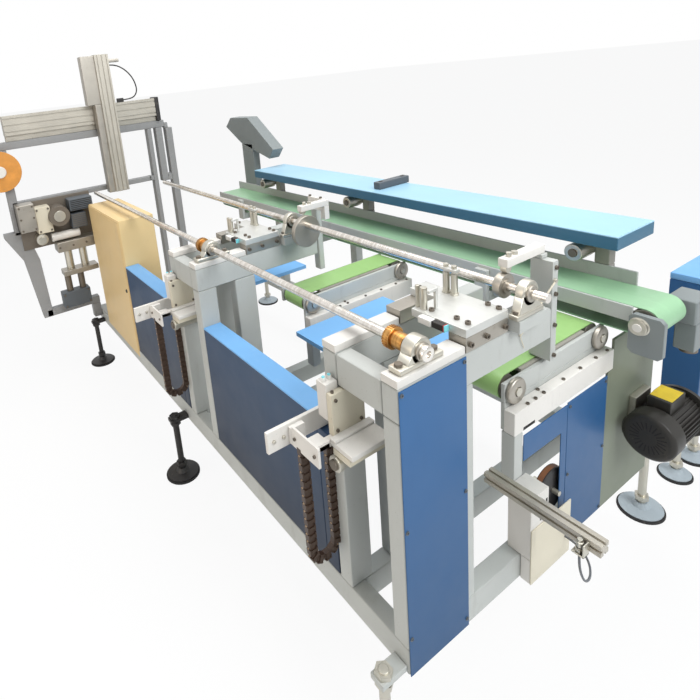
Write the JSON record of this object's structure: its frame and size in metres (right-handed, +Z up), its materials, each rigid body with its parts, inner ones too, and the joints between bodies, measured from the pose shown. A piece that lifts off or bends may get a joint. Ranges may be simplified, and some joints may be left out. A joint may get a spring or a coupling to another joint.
{
  "type": "strapping machine",
  "caption": "Floor-standing strapping line: cross conveyors, cam and guide shafts over two portal stations, a long belt with a cover beam, and a gantry strapping head.",
  "frame": {"origin": "centre of the whole machine's bounding box, at floor level under the levelling pads", "axes": "+X along the line from the strapping head to the near end face, +Y from the operator's side to the long belt, +Z up"},
  "size_m": [2.986, 2.3308, 1.975],
  "materials": {
    "arm_lead": "grey lead",
    "base_frame": "light grey paint",
    "belt_rollers": "turned",
    "cabinet": "beige powder coat",
    "cam_shaft": "polished",
    "catch_trays": "light blue paint",
    "control_box": "grey paint",
    "cover": "blue paint",
    "cover_posts": "grey paint",
    "cross_belts": "green belt",
    "deck_plates": "milled, matt",
    "drag_chains": "black brown plastic",
    "drive_housing": "grey paint",
    "drive_wheel": "dark",
    "end_panels": "mid blue paint",
    "gantry_axis": "anodised",
    "gantry_column": "anodised",
    "gantry_frame": "grey paint",
    "gantry_lead": "black lead",
    "gearbox": "cast",
    "guide_shaft": "polished",
    "leg_sheet": "grey green paint",
    "levelling_feet": "grey pads, black rods",
    "long_belt": "green belt",
    "long_conveyor_frame": "grey paint",
    "mid_cross_conveyor": "light grey paint",
    "mid_portals": "light grey paint",
    "mid_push_unit": "anodised",
    "mid_side_guard": "blue green paint",
    "motor": "black paint",
    "near_cross_conveyor": "light grey paint",
    "near_portals": "light grey paint",
    "near_push_unit": "anodised",
    "near_side_guard": "mid blue paint",
    "profile_arm": "anodised",
    "right_cabinet": "dark blue paint",
    "shaft_bearings": "grey enamel",
    "shaft_gears": "oiled",
    "stop_posts": "turned",
    "strapping_head": "grey paint",
    "switch_box": "black",
    "tape_reel": "orange",
    "tension_box": "grey paint",
    "top_bars": "milled",
    "uprights": "light grey paint"
  },
  "bodies": {
    "root": {"arm_lead": "arm_lead", "base_frame": "base_frame", "belt_rollers": "belt_rollers", "cabinet": "cabinet", "cam_shaft": "cam_shaft", "catch_trays": "catch_trays", "control_box": "control_box", "cover": "cover", "cover_posts": "cover_posts", "cross_belts": "cross_belts", "deck_plates": "deck_plates", "drag_chains": "drag_chains", "drive_housing": "drive_housing", "drive_wheel": "drive_wheel", "end_panels": "end_panels", "gantry_axis": "gantry_axis", "gantry_column": "gantry_column", "gantry_frame": "gantry_frame", "gantry_lead": "gantry_lead", "gearbox": "gearbox", "guide_shaft": "guide_shaft", "leg_sheet": "leg_sheet", "levelling_feet": "levelling_feet", "long_belt": "long_belt", "long_conveyor_frame": "long_conveyor_frame", "mid_cross_conveyor": "mid_cross_conveyor", "mid_portals": "mid_portals", "mid_push_unit": "mid_push_unit", "mid_side_guard": "mid_side_guard", "motor": "motor", "near_cross_conveyor": "near_cross_conveyor", "near_portals": "near_portals", "near_push_unit": "near_push_unit", "near_side_guard": "near_side_guard", "profile_arm": "profile_arm", "right_cabinet": "right_cabinet", "shaft_bearings": "shaft_bearings", "shaft_gears": "shaft_gears", "stop_posts": "stop_posts", "strapping_head": "strapping_head", "switch_box": "switch_box", "tape_reel": "tape_reel", "tension_box": "tension_box", "top_bars": "top_bars", "uprights": "uprights"}
  },
  "joints": []
}
